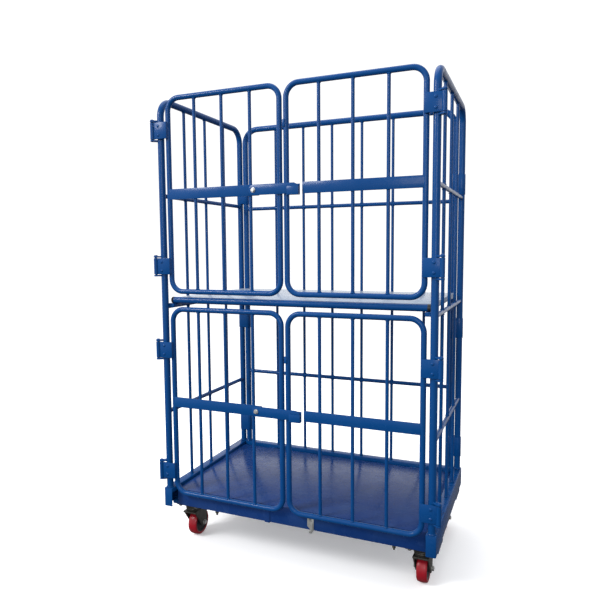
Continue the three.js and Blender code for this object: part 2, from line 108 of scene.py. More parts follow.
class Finish:
    """A node-based material: one Principled shader, with its inputs fed by small chains."""

    def __init__(self, name, color, roughness, metallic=0.0):
        self.material = bpy.data.materials.new(name)
        self.material.use_nodes = True
        self.nodes = self.material.node_tree.nodes
        self.links = self.material.node_tree.links
        self.shader = self.nodes["Principled BSDF"]
        self.shader.inputs["Base Color"].default_value = (*color, 1)
        self.shader.inputs["Roughness"].default_value = roughness
        self.shader.inputs["Metallic"].default_value = metallic
        self.place = self.nodes.new("ShaderNodeTexCoord").outputs["Object"]

    def noise(self, scale, detail=3.0, stretch=(1, 1, 1)):
        """Noise fixed to the object, of a scale in features per metre."""
        mapping = self.nodes.new("ShaderNodeMapping")
        mapping.inputs["Scale"].default_value = stretch
        texture = self.nodes.new("ShaderNodeTexNoise")
        texture.inputs["Scale"].default_value = scale
        texture.inputs["Detail"].default_value = detail
        self.links.new(self.place, mapping.inputs["Vector"])
        self.links.new(mapping.outputs["Vector"], texture.inputs["Vector"])
        return texture.outputs["Fac"]

    def curve(self, value, *ranges):
        return spread(self.material.node_tree, value, *ranges)

    def color_mix(self, factor, one, other):
        """A mix of two colours, each a fixed colour or another node's output."""
        node = self.nodes.new("ShaderNodeMix")
        node.data_type = "RGBA"
        self.links.new(factor, node.inputs["Factor"])
        for socket, value in ((node.inputs["A"], one), (node.inputs["B"], other)):
            if isinstance(value, tuple):
                socket.default_value = (*value, 1)
            else:
                self.links.new(value, socket)
        return node.outputs["Result"]

    def feed(self, socket, value):
        """Links a value to one of the shader's inputs."""
        self.links.new(value, self.shader.inputs[socket])

    def bump(self, height, distance, strength):
        """A fine relief from a height, of a depth in metres."""
        node = self.nodes.new("ShaderNodeBump")
        node.inputs["Distance"].default_value = distance
        node.inputs["Strength"].default_value = strength
        self.links.new(height, node.inputs["Height"])
        self.feed("Normal", node.outputs["Normal"])


def scaled(color, share):
    """A colour with each channel multiplied by a share."""
    return tuple(share * channel for channel in color)


def powder_coat(name, color, dusty, dust_share=0.12, scratch_share=0.0):
    """Powder coat: slow colour drift, thin dust, fine orange peel and faint scratches."""
    finish = Finish(name, color, 0.24)
    finish.shader.inputs["Specular IOR Level"].default_value = 0.12
    finish.shader.inputs["Coat Weight"].default_value = 0.05
    finish.shader.inputs["Coat Roughness"].default_value = 0.06
    patches = finish.curve(finish.noise(2.5, 2.0), 0.3, 0.7, 0.0, 1.0)
    shade = finish.color_mix(patches, color, scaled(color, 0.86))
    dust = finish.curve(finish.noise(9.0, 8.0), 0.45, 0.8, 0.0, dust_share)
    shade = finish.color_mix(dust, shade, dusty)
    if scratch_share:
        scratches = finish.noise(14.0, 9.0, (1.5, 16, 1))
        worn = finish.curve(scratches, 0.6, 0.72, 0.0, scratch_share)
        shade = finish.color_mix(worn, shade, scaled(dusty, 1.5))
    finish.feed("Base Color", shade)
    finish.feed("Roughness", finish.curve(finish.noise(30.0, 4.0), 0.3, 0.75, 0.2, 0.34))
    finish.bump(finish.noise(900.0, 2.0), 0.0004, 0.25)
    return finish.material


def plated(name, color, low, high):
    """Zinc plate: a mottled grain drawn out along Z, and a dull bloom."""
    finish = Finish(name, color, 0.4, 0.9)
    bloom = finish.curve(finish.noise(40.0, 5.0), 0.4, 0.7, 0.0, 1.0)
    finish.feed("Base Color", finish.color_mix(bloom, color, scaled(color, 0.72)))
    grain = finish.noise(260.0, 3.0, (1, 1, 0.15))
    finish.feed("Roughness", finish.curve(grain, 0.3, 0.7, low, high))
    finish.bump(grain, 0.0003, 0.3)
    return finish.material


def cast_plastic(name, color, roughness, scuffed):
    """Moulded polyurethane or plastic: a waxy surface with scuffs."""
    finish = Finish(name, color, roughness)
    finish.shader.inputs["Specular IOR Level"].default_value = 0.3
    finish.shader.inputs["Coat Weight"].default_value = 0.1
    finish.shader.inputs["Coat Roughness"].default_value = 0.2
    scuffs = finish.curve(finish.noise(90.0, 6.0), 0.55, 0.75, 0.0, 0.6)
    finish.feed("Base Color", finish.color_mix(scuffs, color, scuffed))
    finish.feed("Roughness", finish.curve(finish.noise(50.0), 0.3, 0.7, roughness, roughness + 0.2))
    finish.bump(finish.noise(700.0), 0.0004, 0.2)
    return finish.material


MATERIALS = {
    "blue_gloss": powder_coat("blue_powder_coat", (0.002, 0.05, 0.19), (0.02, 0.09, 0.24)),
    "deck_blue": powder_coat(
        "blue_deck_coat", (0.006, 0.034, 0.155), (0.03, 0.07, 0.19), 0.5, 0.2
    ),
    "pale_sheet": powder_coat(
        "pale_shelf_coat", (0.25, 0.31, 0.41), (0.36, 0.4, 0.47), 0.5, 0.25
    ),
    "zinc": plated("zinc_plate", (0.62, 0.62, 0.6), 0.28, 0.5),
    "dark_zinc": plated("dark_plate", (0.1, 0.095, 0.085), 0.35, 0.6),
    "red_tyre": cast_plastic("red_polyurethane", (0.27, 0.004, 0.012), 0.28, (0.2, 0.012, 0.018)),
    "black": cast_plastic("black_plastic", (0.015, 0.015, 0.017), 0.4, (0.05, 0.05, 0.05)),
}

# ---- mesh pieces ----------------------------------------------------------------------


def rounded_path(corners, radius, closed, steps=10):
    """Points and directions along straight runs whose right-angled corners are arcs."""
    count = len(corners)
    path = []
    for i, corner in enumerate(corners):
        into = (corner - corners[i - 1]).normalized()
        out = (corners[(i + 1) % count] - corner).normalized()
        if not closed and i in (0, count - 1):
            path.append((corner, out if i == 0 else into))
            continue
        for step in range(steps + 1):
            turn = math.pi / 2 * step / steps
            point = corner - into * radius * (1 - math.sin(turn))
            point = point + out * radius * (1 - math.cos(turn))
            path.append((point, into * math.cos(turn) + out * math.sin(turn)))
    return path


def add_tube(bm, path, normal, radius, closed=False, sides=20):
    """A round tube along a flat path; open ends get a flat face."""
    rings = []
    for point, along in path:
        across = along.cross(normal)
        ring = []
        for k in range(sides):
            angle = 2 * math.pi * k / sides
            offset = normal * math.cos(angle) + across * math.sin(angle)
            ring.append(bm.verts.new(point + offset * radius))
        rings.append(ring)
    spans = range(len(rings) if closed else len(rings) - 1)
    for i in spans:
        here, there = rings[i], rings[(i + 1) % len(rings)]
        for k in range(sides):
            bm.faces.new((here[k], there[k], there[k - 1], here[k - 1]))
    if not closed:
        bm.faces.new(rings[0])
        bm.faces.new(rings[-1][::-1])


def square_to(along):
    """Some direction square to a given one."""
    return along.orthogonal().normalized()


def add_rod(bm, start, end, radius, sides=16, chamfer=0.0):
    """A round bar, with its ends chamfered where a chamfer is given."""
    along = (end - start).normalized()
    normal = square_to(along)
    if not chamfer:
        add_tube(bm, [(start, along), (end, along)], normal, radius, sides=sides)
        return
    profile = [(radius - chamfer, 0.0), (radius, chamfer)]
    length = (end - start).length
    profile += [(radius, length - chamfer), (radius - chamfer, length)]
    add_turned(bm, start, along, profile, sides)


def add_turned(bm, origin, axis, profile, sides=32, closed=False):
    """A profile of (radius, distance) points turned about an axis."""
    normal = square_to(axis)
    across = axis.cross(normal)
    rings = []
    for radius, distance in profile:
        ring = []
        for k in range(sides):
            angle = 2 * math.pi * k / sides
            spoke = normal * math.cos(angle) + across * math.sin(angle)
            ring.append(bm.verts.new(origin + axis * distance + spoke * radius))
        rings.append(ring)
    count = len(rings)
    for i in range(count if closed else count - 1):
        here, there = rings[i], rings[(i + 1) % count]
        for k in range(sides):
            bm.faces.new((here[k - 1], here[k], there[k], there[k - 1]))
    if not closed:
        bm.faces.new(rings[0][::-1])
        bm.faces.new(rings[-1])


def add_bead(bm, centre, axis, radius, size=BEAD, seed=0.0):
    """A weld bead round a bar: a small ring whose height ripples."""
    sides, around = 18, 6
    sunk = 0.3 * MM
    normal = square_to(axis)
    across = axis.cross(normal)
    rings = []
    for k in range(sides):
        angle = 2 * math.pi * k / sides
        spoke = normal * math.cos(angle) + across * math.sin(angle)
        ripple = 1 + 0.3 * noise.noise(Vector((3 * math.cos(angle), 3 * math.sin(angle), seed)))
        ring = []
        for j in range(around):
            turn = 2 * math.pi * j / around
            out = radius - sunk + size * ripple * math.cos(turn)
            ring.append(bm.verts.new(centre + spoke * out + axis * size * ripple * math.sin(turn)))
        rings.append(ring)
    for k in range(sides):
        here, there = rings[k - 1], rings[k]
        for j in range(around):
            bm.faces.new((here[j - 1], here[j], there[j], there[j - 1]))


def add_seam(bm, start, end, size=BEAD, seed=0.0):
    """A straight weld seam between two points: a low rippled ridge."""
    along = (end - start).normalized()
    normal = square_to(along)
    length = (end - start).length
    steps = max(4, int(length / BEAD))
    around = 8
    across = along.cross(normal)
    rings = []
    for i in range(steps + 1):
        swell = 0.85 + 0.2 * noise.noise(Vector((i * 0.9, seed, 0)))
        swell *= 0.55 if i in (0, steps) else 1 + 0.12 * (i % 2)
        ring = []
        for j in range(around):
            turn = 2 * math.pi * j / around
            offset = normal * math.cos(turn) + across * math.sin(turn)
            ring.append(bm.verts.new(start + along * length * i / steps + offset * size * swell))
        rings.append(ring)
    for here, there in zip(rings, rings[1:]):
        for j in range(around):
            bm.faces.new((here[j - 1], here[j], there[j], there[j - 1]))
    bm.faces.new(rings[0][::-1])
    bm.faces.new(rings[-1])


def add_plate(bm, outline, axis, low, high, bevel=0.6 * MM):
    """An outline in the two axes square to the given one, drawn out along it and eased."""
    order = {"x": (1, 2, 0), "y": (0, 2, 1), "z": (0, 1, 2)}[axis]
    part = bmesh.new()

    def vertex(point, height):
        place = [0.0, 0.0, 0.0]
        place[order[0]], place[order[1]], place[order[2]] = point[0], point[1], height
        return part.verts.new(place)

    floor = [vertex(p, low) for p in outline]
    roof = [vertex(p, high) for p in outline]
    part.faces.new(floor)
    part.faces.new(roof[::-1])
    for i in range(len(outline)):
        part.faces.new((floor[i - 1], floor[i], roof[i], roof[i - 1]))
    bmesh.ops.recalc_face_normals(part, faces=part.faces)
    sharp = [edge for edge in part.edges if edge.calc_face_angle(0) > math.radians(25)]
    bmesh.ops.bevel(part, geom=sharp, offset=bevel, segments=2, affect="EDGES", profile=0.5)
    mesh = bpy.data.meshes.new("scratch")
    part.to_mesh(mesh)
    part.free()
    bm.from_mesh(mesh)
    bpy.data.meshes.remove(mesh)


def rectangle(u0, u1, v0, v1):
    """The outline of a rectangle in a plane."""
    return [(u0, v0), (u1, v0), (u1, v1), (u0, v1)]


def capsule(a, b, radius, steps=10):
    """The outline round two points of a plane: two half circles and two straight sides."""
    heading = math.atan2(b[1] - a[1], b[0] - a[0])
    outline = []
    for (x, y), start in ((b, heading - math.pi / 2), (a, heading + math.pi / 2)):
        for k in range(steps + 1):
            turn = start + math.pi * k / steps
            outline.append((x + radius * math.cos(turn), y + radius * math.sin(turn)))
    return outline


def add_hex(bm, centre, axis, across_flats, height):
    """A hexagon bolt head or nut, with its outer corners turned off."""
    radius = across_flats / math.sqrt(3)  # to the corners
    profile = [
        (radius * 0.98, 0.0), (radius, 0.3 * MM),
        (radius, height - 1.0 * MM), (radius * 0.86, height),
    ]
    add_turned(bm, centre, axis, profile, 6)


def add_washer(bm, start, axis, radius, thick, sides=24):
    """A flat disc: a washer or a spacer."""
    add_turned(bm, start, axis, [(radius, 0), (radius, thick)], sides)


def to_object(bm, name, material, body, replaced=()):
    """The finished piece: normals out, edges over 32 degrees kept sharp, riding on its body."""
    bmesh.ops.recalc_face_normals(bm, faces=bm.faces)
    for face in bm.faces:
        face.smooth = True
    for edge in bm.edges:
        edge.smooth = edge.calc_face_angle(0) < math.radians(32)
    mesh = bpy.data.meshes.new(name)
    bm.to_mesh(mesh)
    bm.free()
    obj = bpy.data.objects.new(name, mesh)
    bpy.context.scene.collection.objects.link(obj)
    mesh.materials.append(MATERIALS[material])
    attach(obj, body)
    if replaced:
        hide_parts(*replaced)


def eased_copy(node, body, material, width=0.8 * MM):
    """A CAD solid with its edges eased, standing for the faceted one."""
    bm = bmesh.new()
    bm.from_mesh(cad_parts[node].data)
    bmesh.ops.remove_doubles(bm, verts=bm.verts, dist=0.01 * MM)
    bmesh.ops.dissolve_limit(bm, angle_limit=math.radians(2), verts=bm.verts, edges=bm.edges)
    inner = [edge for edge in bm.edges if len(edge.link_faces) == 2]
    sharp = [edge for edge in inner if edge.calc_face_angle(0) > math.radians(40)]
    bmesh.ops.bevel(
        bm, geom=sharp, offset=width, segments=2, affect="EDGES", profile=0.5, clamp_overlap=True
    )
    to_object(bm, f"{node}_eased", material, body, [node])


# ---- the fixed panels -----------------------------------------------------------------


def panel(name, place, normal, low, high, bars, rails, extra=None):
    """An arched panel: its tube, upright bars and rails, each weld with a bead."""
    bm = bmesh.new()
    top = TOP - POST_R
    corners = [place(low, FOOT), place(low, top), place(high, top), place(high, FOOT)]
    add_tube(bm, rounded_path(corners, POST_BEND, False), normal, POST_R, sides=28)
    along = (place(high, 0) - place(low, 0)).normalized()
    for i, u in enumerate(bars):
        add_rod(bm, place(u, FOOT), place(u, top), BAR_R)
        add_bead(bm, place(u, top - POST_R), Z, BAR_R, seed=i)
        add_bead(bm, place(u, FOOT + BEAD), Z, BAR_R, seed=i + 20)
        for z in rails:
            for step in (-1, 1):
                add_bead(bm, place(u, z + step * RAIL_R), Z, BAR_R, seed=i + z + step)
    for z in rails:
        add_rod(bm, place(low, z), place(high, z), RAIL_R, sides=20)
        for u, step in ((low, 1), (high, -1)):
            add_bead(bm, place(u + step * POST_R, z), along, RAIL_R, seed=z + u)
    for u in (low, high):
        add_bead(bm, place(u, FOOT + BEAD), Z, POST_R, size=BEAD * 1.2, seed=u)
    if extra:
        extra(bm)
    to_object(bm, f"{name}_tubes", "blue_gloss", "cage", [name])


SHELF_PIN_AHEAD = 24 * MM  # of the back panel
SHELF_PIN_DROP = 7 * MM  # below the shelf's top
SADDLE_INNER = 0.468
SADDLE_ENDS = (FRONT + 8 * MM, FRONT + 60 * MM)
SLEEVE_R = 14.5 * MM
SLEEVE_RIVET = in_mm([(6, -1), (6, 0.4), (4.6, 1.1), (2, 1.4)])


def shelf_lugs(bm):
    """The shelf's hinge lugs, bosses and pins, in front of the back panel's outermost bars."""
    axis_y = REAR - SHELF_PIN_AHEAD
    axis_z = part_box("shelf_sheet")[1].z - SHELF_PIN_DROP
    lug = rectangle(axis_y, REAR - 2 * MM, axis_z - 5 * MM, axis_z + 5 * MM)
    for x in (BACK_BAR_PLACES[0], BACK_BAR_PLACES[-1]):
        add_plate(bm, lug, "x", x - 7 * MM, x + 7 * MM)
        centre = Vector((x, axis_y, axis_z))
        for reach, radius, sides, chamfer in ((8, 6.5 * MM, 20, 0.5), (22, PIN_R, 16, 0.6)):
            half = X * reach * MM
            add_rod(bm, centre - half, centre + half, radius, sides, chamfer * MM)


def saddle(side):
    """A function that adds a side panel's saddle for the shelf, and its two welds."""
    def add(bm):
        inner, outer = sorted((side * SADDLE_INNER, side * SIDE))
        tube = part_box("shelf_front_tube")[0].z
        outline = rectangle(*SADDLE_ENDS, SIDE_RAILS[1] - 2 * MM, tube - 0.3 * MM)
        add_plate(bm, outline, "x", inner, outer, 1.0 * MM)
        edge = Vector((side * (SIDE - 6 * MM), 0, tube - 1 * MM))
        for y in SADDLE_ENDS:
            add_seam(bm, edge + Y * y, edge + Y * y - X * side * 18 * MM, seed=y)
    return add


def corner_hinge(side_name, side, number):
    """The double sleeve that ties a side panel's rear post to the back panel's post."""
    node = f"corner_hinge_{side_name}_{number}"
    low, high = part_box(node)
    left, right = sorted((side * SIDE, side * BACK_SIDE))
    bm = bmesh.new()
    add_plate(bm, capsule((left, REAR), (right, REAR), SLEEVE_R, 12), "z", low.z, high.z, 0.8 * MM)
    for z in (low.z, high.z):
        add_bead(bm, Vector((side * BACK_SIDE, REAR, z)), Z, POST_R, seed=z)
    rivet = Vector(((left + right) / 2, REAR + SLEEVE_R, (low.z + high.z) / 2))
    add_turned(bm, rivet, Y, SLEEVE_RIVET, 20)
    to_object(bm, f"{node}_sleeve", "blue_gloss", "cage", [node])


panel(
    "back_panel", lambda u, z: Vector((u, REAR, z)), Y,
    -BACK_SIDE, BACK_SIDE, BACK_BAR_PLACES, BACK_RAILS, shelf_lugs,
)
for side_name, side in SIDES:
    panel(
        f"{side_name}_side_panel", lambda u, z, s=side: Vector((s * SIDE, u, z)), X,
        FRONT, REAR, evenly(SIDE_BARS, FRONT, REAR), SIDE_RAILS, saddle(side),
    )
    eased_copy(f"{side_name}_sill", "cage", "blue_gloss", 1.5 * MM)
eased_copy("rear_sill", "cage", "blue_gloss", 1.5 * MM)
for side_name, side in SIDES:
    for number in (1, 2, 3):
        corner_hinge(side_name, side, number)

# ---- deck and shelf -------------------------------------------------------------------

STOP_BOLT_X = (-0.309, 0.371)
STOP_BOLT_INSET = 12 * MM
SHELF_TUBE_R = 12 * MM
SHELF_CAP = 10 * MM  # how far a plastic cap laps the tube's end
SHELF_WELDS = 6


def hook_bolt():
    """The bolt that holds the deck's catch hook: a washer and a hexagon head."""
    low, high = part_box("deck_hook")
    head = Vector(((low.x + high.x) / 2, low.y, high.z - 14 * MM))
    bm = bmesh.new()
    add_washer(bm, head + Y * 0.2 * MM, -Y, 6.2 * MM, 1.2 * MM)
    add_hex(bm, head - Y * 1 * MM, -Y, 10 * MM, 5 * MM)
    to_object(bm, "deck_hook_bolt", "zinc", "deck")


def stop_bolts():
    """Two bolts that hang below the deck's front edge: a head and a thinner end."""
    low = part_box("deck")[0]
    bm = bmesh.new()
    for x in STOP_BOLT_X:
        under = Vector((x, low.y + STOP_BOLT_INSET, low.z))
        add_hex(bm, under + Z * 1 * MM, -Z, 12 * MM, 9 * MM)
        add_rod(bm, under - Z * 8 * MM, under - Z * 15 * MM, 3.6 * MM, 12, 0.5 * MM)
    to_object(bm, "deck_stop_bolts", "dark_zinc", "deck")


def shelf_front_tube():
    """The shelf's front tube with its welds to the sheet, and a plastic cap on each end."""
    low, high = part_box("shelf_front_tube")
    middle = middle_of("shelf_front_tube")
    at = {x: Vector((x, middle.y, middle.z)) for x in (low.x, high.x)}
    bm = bmesh.new()
    add_rod(bm, at[low.x] + X * SHELF_CAP, at[high.x] - X * SHELF_CAP, SHELF_TUBE_R, 28)
    for x in evenly(SHELF_WELDS, low.x, high.x):
        seam = Vector((x, middle.y + 11.2 * MM, middle.z + 6 * MM))
        add_seam(bm, seam - X * 14 * MM, seam + X * 14 * MM, 1.6 * MM, x)
    tube = "shelf_front_tube"
    to_object(bm, f"{tube}_fine", "blue_gloss", "shelf", [tube])
    bm = bmesh.new()
    cap = in_mm([(9.5, 0), (11.6, 1), (12.2, 3), (12.2, SHELF_CAP / MM)])
    for x, step in ((low.x, 1), (high.x, -1)):
        add_turned(bm, at[x], X * step, cap, 28)
    to_object(bm, "shelf_tube_caps", "black", "shelf")


eased_copy("deck", "deck", "deck_blue", 1.2 * MM)
eased_copy("deck_hook", "deck", "zinc")
eased_copy("shelf_sheet", "shelf", "pale_sheet", 1.0 * MM)
for side_name, side in SIDES:
    eased_copy(f"deck_hinge_{side_name}", "cage", "blue_gloss", 0.6 * MM)
hook_bolt()
stop_bolts()
shelf_front_tube()

# ---- doors ----------------------------------------------------------------------------

LEFT_BAR_END = -0.097  # the left door's flat bar ends past the lever's bolt
RIGHT_BAR_GAP = 60 * MM  # from the right meeting tube to its door's flat bar
FLAT_HALF = 19 * MM
FLAT_FACES = (FRONT - 9 * MM, FRONT - 5 * MM)
STOP_LONG = 10 * MM
STOP_HALF = 12 * MM
STOP_HALF_THICK = 3 * MM
LATCH_Z = {"upper": 1.345, "lower": 0.572}
STOP_Z = {"upper": 1.560, "lower": 0.763}
HINGE_X = SIDE + 24 * MM
HINGE_Y = FRONT - 18 * MM
KNUCKLE_R = 8 * MM
LEAF_HALF_THICK = 2 * MM
LEAF_RIVET = in_mm([(5.5, -0.5), (5.5, 0.8), (4, 2.2), (1.5, 2.8)])
PIN_HEAD = in_mm([(7, -0.2), (7, 1.2), (5, 3), (2, 3.6)])
LEVER_CHAMFER = (14 * MM, 7 * MM)


def door(level, side_name, side):
    """A door: its rounded loop, bars, flat bar and welds, and a right door's stop."""
    node = f"door_{level}_{side_name}"
    low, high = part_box(node)
    x0, x1 = low.x + DOOR_R, high.x - DOOR_R
    if side > 0:
        x0 = low.x + STOP_LONG
    z0, z1 = low.z + DOOR_R, high.z - DOOR_R
    corners = [Vector((x, FRONT, z)) for x, z in ((x0, z0), (x1, z0), (x1, z1), (x0, z1))]
    bm = bmesh.new()
    add_tube(bm, rounded_path(corners, DOOR_BEND, True), Y, DOOR_R, closed=True, sides=24)
    for i, x in enumerate(evenly(DOOR_BARS, x0, x1)):
        add_rod(bm, Vector((x, FRONT, z0)), Vector((x, FRONT, z1)), BAR_R)
        add_bead(bm, Vector((x, FRONT, z0 + DOOR_R)), Z, BAR_R, seed=i + z0)
        add_bead(bm, Vector((x, FRONT, z1 - DOOR_R)), Z, BAR_R, seed=i + z1)
    rail = (x0, LEFT_BAR_END) if side < 0 else (x0 + RIGHT_BAR_GAP, x1)
    z = LATCH_Z[level]
    add_plate(bm, rectangle(*rail, z - FLAT_HALF, z + FLAT_HALF), "y", *FLAT_FACES, 0.8 * MM)
    uprights = evenly(DOOR_BARS, x0, x1) + [x0 if side < 0 else x1]
    for x in uprights:
        if rail[0] < x < rail[1] or x in (x0, x1):
            for edge in (-1, 1):
                seam = Vector((x, FRONT - 5.5 * MM, z + edge * FLAT_HALF))
                add_seam(bm, seam - X * 5 * MM, seam + X * 5 * MM, 1.7 * MM, x + edge)
    if side > 0:
        tab = rectangle(x0 - STOP_LONG, x0, STOP_Z[level] - STOP_HALF, STOP_Z[level] + STOP_HALF)
        face = FRONT - DOOR_R
        add_plate(bm, tab, "y", face - STOP_HALF_THICK, face + STOP_HALF_THICK, 0.8 * MM)
    to_object(bm, f"{node}_tubes", "blue_gloss", node, [node])


def hinge_leaf(level, side_name, side, leaf):
    """The door's half of a hinge: a folded leaf, its knuckle, its weld and two rivets."""
    low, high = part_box(leaf)
    pivot = Vector((side * HINGE_X, HINGE_Y, 0))
    front, back = HINGE_Y - LEAF_HALF_THICK, HINGE_Y + LEAF_HALF_THICK
    end = low.x if side > 0 else high.x
    foot = end + side * 9 * MM
    outline = [
        (pivot.x, front), (end, front), (end, high.y),
        (foot, high.y), (foot, back), (pivot.x, back),
    ]
    bm = bmesh.new()
    add_plate(bm, outline, "z", low.z, high.z, 1.0 * MM)
    add_rod(bm, pivot + Z * low.z, pivot + Z * high.z, KNUCKLE_R, 28, 0.7 * MM)
    inner = Vector((end + side * 1 * MM, high.y + 0.8 * MM, 0))
    middle = (low.z + high.z) / 2
    add_seam(bm, inner + Z * (low.z + 3 * MM), inner + Z * (high.z - 3 * MM), seed=middle)
    for z in (middle - 16 * MM, middle + 16 * MM):
        add_turned(bm, Vector((side * (SIDE - 2 * MM), front, z)), -Y, LEAF_RIVET, 20)
    to_object(bm, f"{leaf}_fine", "blue_gloss", f"door_{level}_{side_name}", [leaf])


def hinge_bracket(side, leaf, bracket):
    """The post's half of a hinge: two ears, their welds, and the pin with its head."""
    low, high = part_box(leaf)
    ears_low, ears_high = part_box(bracket)
    pivot = Vector((side * HINGE_X, HINGE_Y, 0))
    ear = capsule((pivot.x, pivot.y), (side * (SIDE + 9 * MM), FRONT - 7 * MM), KNUCKLE_R)
    bm = bmesh.new()
    for bottom, top in ((ears_low.z, low.z - 2 * MM), (high.z + 2 * MM, ears_high.z)):
        add_plate(bm, ear, "z", bottom, top, 0.8 * MM)
    add_rod(bm, pivot + Z * ears_low.z, pivot + Z * (ears_high.z + 2.5 * MM), PIN_R, 16, 0.6 * MM)
    add_turned(bm, pivot + Z * ears_high.z, Z, PIN_HEAD, 20)
    for z, step in ((ears_low.z, 1), (ears_high.z, -1)):
        weld = Vector((side * (SIDE + 10 * MM), FRONT - 7.5 * MM, z + step * 3 * MM))
        add_seam(bm, weld - Y * 6 * MM, weld + Y * 9 * MM, seed=z)
    to_object(bm, f"{bracket}_fine", "blue_gloss", "cage", [bracket])


def latch_lever(level):
    """The lever: round about its bolt, with a chamfered upper corner at its end."""
    node = f"latch_lever_{level}"
    low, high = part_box(node)
    half = (high.z - low.z) / 2
    x, z = low.x + half, (low.z + high.z) / 2
    turns = [math.pi / 2 + math.pi * k / 16 for k in range(17)]
    outline = [(x + half * math.cos(t), z + half * math.sin(t)) for t in turns]
    along, down = LEVER_CHAMFER
    outline += [(high.x, low.z), (high.x, high.z - down), (high.x - along, high.z)]
    bm = bmesh.new()
    add_plate(bm, outline, "y", low.y, high.y, 0.8 * MM)
    to_object(bm, f"{node}_fine", "blue_gloss", f"latch_{level}", [node])


def latch_bolt(level):
    """The lever's bolt: a spacer behind the lever, a shank, a washer and a hexagon head."""
    node = f"latch_bolt_{level}"
    low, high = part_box(node)
    lever_low, lever_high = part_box(f"latch_lever_{level}")
    middle = middle_of(node)
    axis = Vector((middle.x, 0, middle.z))
    bm = bmesh.new()
    add_washer(bm, axis + Y * high.y, -Y, 9 * MM, high.y - lever_high.y - 0.2 * MM, 28)
    add_rod(bm, axis + Y * high.y, axis + Y * lever_low.y, PIN_R, 16)
    add_washer(bm, axis + Y * (lever_low.y - 0.1 * MM), -Y, 8.6 * MM, 1 * MM, 28)
    add_hex(bm, axis + Y * (lever_low.y - 1 * MM), -Y, 13 * MM, lever_low.y - low.y - 1 * MM)
    to_object(bm, f"{node}_fine", "zinc", f"door_{level}_left", [node])


for level in LEVELS:
    for side_name, side in SIDES:
        door(level, side_name, side)
        for number in (1, 2):
            leaf = f"hinge_leaf_{level}_{side_name}_{number}"
            hinge_leaf(level, side_name, side, leaf)
            hinge_bracket(side, leaf, f"hinge_bracket_{level}_{side_name}_{number}")
    latch_lever(level)
    eased_copy(f"latch_keeper_{level}", f"door_{level}_right", "blue_gloss", 0.7 * MM)
    latch_bolt(level)

# ---- castors --------------------------------------------------------------------------


WHEEL_R = 50  # the radius that the half profiles below are drawn for
TYRE = [(39, 12), (39, 17.2), (40.5, 18), (45, 18), (47.2, 17), (48.8, 14), (49.6, 9), (WHEEL_R, 4)]
CORE = [(6.5, 21), (13.5, 21), (14.5, 20), (16, 14.5), (33, 13.5), (35, 16.2), (38.8, 16.8)]
BEARING_RING = in_mm([(6.2, 0.2), (11, 0.2), (11, 0.9), (6.2, 1.1)])
SPOKES = 6
AXLE_HEAD = 7 * MM
AXLE_NUT = 8 * MM
PLATE_BOLT_X = 36 * MM
PLATE_BOLT_Y = 32 * MM
PLATE_THICK = 5 * MM
RACE_RINGS = in_mm([(27.4, 8), (28.2, 14), (27.4, 20)])


def wheel(node, body):
    """A castor wheel: a red crowned tyre on a dark dished core with a hub and spokes."""
    low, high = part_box(node)
    centre = middle_of(node)
    shrink = (high.z - low.z) / 2 / (WHEEL_R * MM)

    def both_sides(half):
        mirrored = [(r, -z) for r, z in half] + half[::-1]
        return [(r * shrink, z) for r, z in in_mm(mirrored)]

    bm = bmesh.new()
    add_turned(bm, centre, X, both_sides(TYRE), 64, closed=True)
    to_object(bm, f"{node}_tyre", "red_tyre", body, [node])
    bm = bmesh.new()
    add_turned(bm, centre, X, both_sides(CORE), 64, closed=True)
    for step in (-1, 1):
        for k in range(SPOKES):
            turn = 2 * math.pi * k / SPOKES
            spoke = Y * math.cos(turn) + Z * math.sin(turn)
            start = centre + X * step * 13.2 * MM + spoke * 15 * MM
            add_rod(bm, start, start + spoke * 19 * MM, 2.4 * MM, 10)
    to_object(bm, f"{node}_core", "black", body)
    bm = bmesh.new()
    for step in (-1, 1):
        add_turned(bm, centre + X * step * 20.8 * MM, X * step, BEARING_RING, 32, closed=True)
    to_object(bm, f"{node}_bearing", "zinc", body)


def axle(node, body):
    """The axle bolt: its shank, a head on the left and a nut on the right, with washers."""
    low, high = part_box(node)
    middle = middle_of(node)
    axis = Vector((0, middle.y, middle.z))
    bm = bmesh.new()
    add_rod(bm, axis + X * (low.x + 6 * MM), axis + X * (high.x - 1 * MM), 5 * MM, 20)
    for x, step, height in ((low.x + AXLE_HEAD, -1, AXLE_HEAD), (high.x - AXLE_NUT, 1, AXLE_NUT)):
        start = axis + X * x
        add_washer(bm, start, X * step, 9.6 * MM, 1.2 * MM, 28)
        add_hex(bm, start + X * step * 1 * MM, X * step, 15 * MM, height - 1 * MM)
    to_object(bm, f"{node}_fine", "zinc", body, [node])


def top_plate_bolts(name, plate):
    """Hexagon bolts under a castor's top plate, and the race's rolled rings."""
    middle = middle_of(plate)
    under = Vector((middle.x, middle.y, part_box(plate)[1].z - PLATE_THICK))
    bm = bmesh.new()
    for dx in (-PLATE_BOLT_X, PLATE_BOLT_X):
        for dy in (-PLATE_BOLT_Y, PLATE_BOLT_Y):
            start = under + X * dx + Y * dy
            add_washer(bm, start, -Z, 9 * MM, 1.4 * MM)
            add_hex(bm, start - Z * 1.3 * MM, -Z, 13 * MM, 6 * MM)
    to_object(bm, f"{name}_plate_bolts", "zinc", "cage")
    bm = bmesh.new()
    for radius, depth in RACE_RINGS:
        add_bead(bm, under - Z * depth, Z, radius, 1.6 * MM, seed=depth / MM)
    to_object(bm, f"{name}_race_rings", "dark_zinc", "cage")


